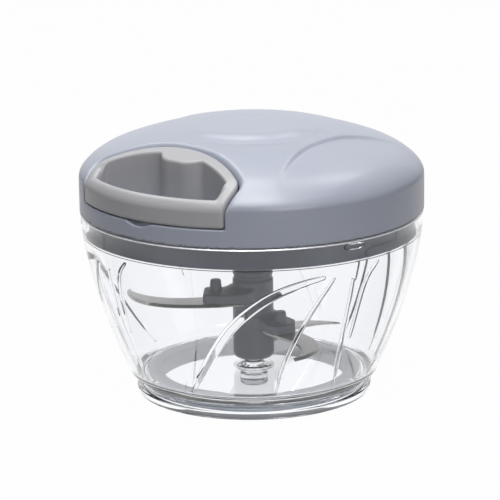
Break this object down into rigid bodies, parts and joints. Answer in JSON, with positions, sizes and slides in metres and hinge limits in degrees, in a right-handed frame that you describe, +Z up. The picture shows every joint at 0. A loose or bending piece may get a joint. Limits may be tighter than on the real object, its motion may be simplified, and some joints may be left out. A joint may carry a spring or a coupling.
{
  "type": "manual pull-cord vegetable chopper",
  "caption": "Hand-pulled vegetable chopper: clear round bowl with inner ribs, domed lid with a nested cord handle, and swept blades on a central shaft.",
  "frame": {"origin": "centre of the bowl's foot, on the surface it stands on", "axes": "+Z up along the blade shaft, -Y towards the viewer of the picture, +X to the picture's right"},
  "size_m": [0.125, 0.125, 0.1],
  "materials": {
    "clear_plastic": "clear moulded plastic",
    "lid_plastic": "satin blue-grey moulded plastic",
    "slate_plastic": "satin slate moulded plastic",
    "handle_plastic": "smooth warm grey moulded plastic",
    "ring_rubber": "matte grey soft rubber",
    "seal_silicone": "translucent silicone",
    "blade_steel": "polished stainless steel",
    "bright_steel": "plated steel",
    "spring_steel": "tempered spring steel",
    "white_acetal": "natural white moulded plastic",
    "cord_fibre": "braided white cord"
  },
  "bodies": {
    "bowl": {"bowl": "clear_plastic", "non_slip_ring": "ring_rubber"},
    "seal": {"seal_ring": "seal_silicone"},
    "lid": {"lid_cover": "lid_plastic", "lid_base": "slate_plastic", "lid_screw_1": "bright_steel", "lid_screw_2": "bright_steel", "lid_screw_3": "bright_steel", "lid_screw_4": "bright_steel", "spring_housing": "white_acetal", "spring_cover": "white_acetal", "recoil_spring": "spring_steel", "spool_axle": "bright_steel", "axle_clip": "bright_steel", "cord_eyelet": "bright_steel", "drive_bush": "white_acetal", "pull_cord": "cord_fibre"},
    "drive": {"spool": "white_acetal", "cord_winding": "cord_fibre", "drive_coupler": "slate_plastic"},
    "blade_unit": {"blade_shaft": "slate_plastic", "blade_upper": "blade_steel", "blade_middle": "blade_steel", "blade_lower": "blade_steel", "blade_pin_upper": "slate_plastic", "blade_pin_middle": "slate_plastic", "blade_pin_lower": "slate_plastic"},
    "pull_handle": {"pull_handle": "handle_plastic", "cord_knot": "cord_fibre"}
  },
  "joints": [
    {"name": "lid_lift", "type": "slide", "parent": "bowl", "child": "seal", "axis": [0, 0, 1], "range_m": [0, 0.12]},
    {"name": "lid_turn", "type": "hinge", "parent": "seal", "child": "lid", "pos_m": [0, 0, 0.068], "axis": [0, 0, 1], "range_deg": [-17, 0]},
    {"name": "handle_pull", "type": "slide", "parent": "lid", "child": "pull_handle", "axis": [-0.6361, -0.7716, 0], "range_m": [0, 0.36], "stiffness_N_per_m": 10, "springref_m": -0.3, "deforming": ["pull_cord"]},
    {"name": "spool_spin", "type": "hinge", "parent": "lid", "child": "drive", "pos_m": [0, 0, 0.078], "axis": [0, 0, 1], "range_deg": [-5, 1133], "deforming": ["recoil_spring"]},
    {"name": "blade_drop", "type": "slide", "parent": "drive", "child": "blade_unit", "axis": [0, 0, 1], "range_m": [-0.12, 0]}
  ],
  "couplings": [
    {"joint": "spool_spin", "follows": "handle_pull", "rad_per_m": 54.645},
    {"joint": "blade_drop", "follows": "lid_lift", "ratio": -1}
  ]
}
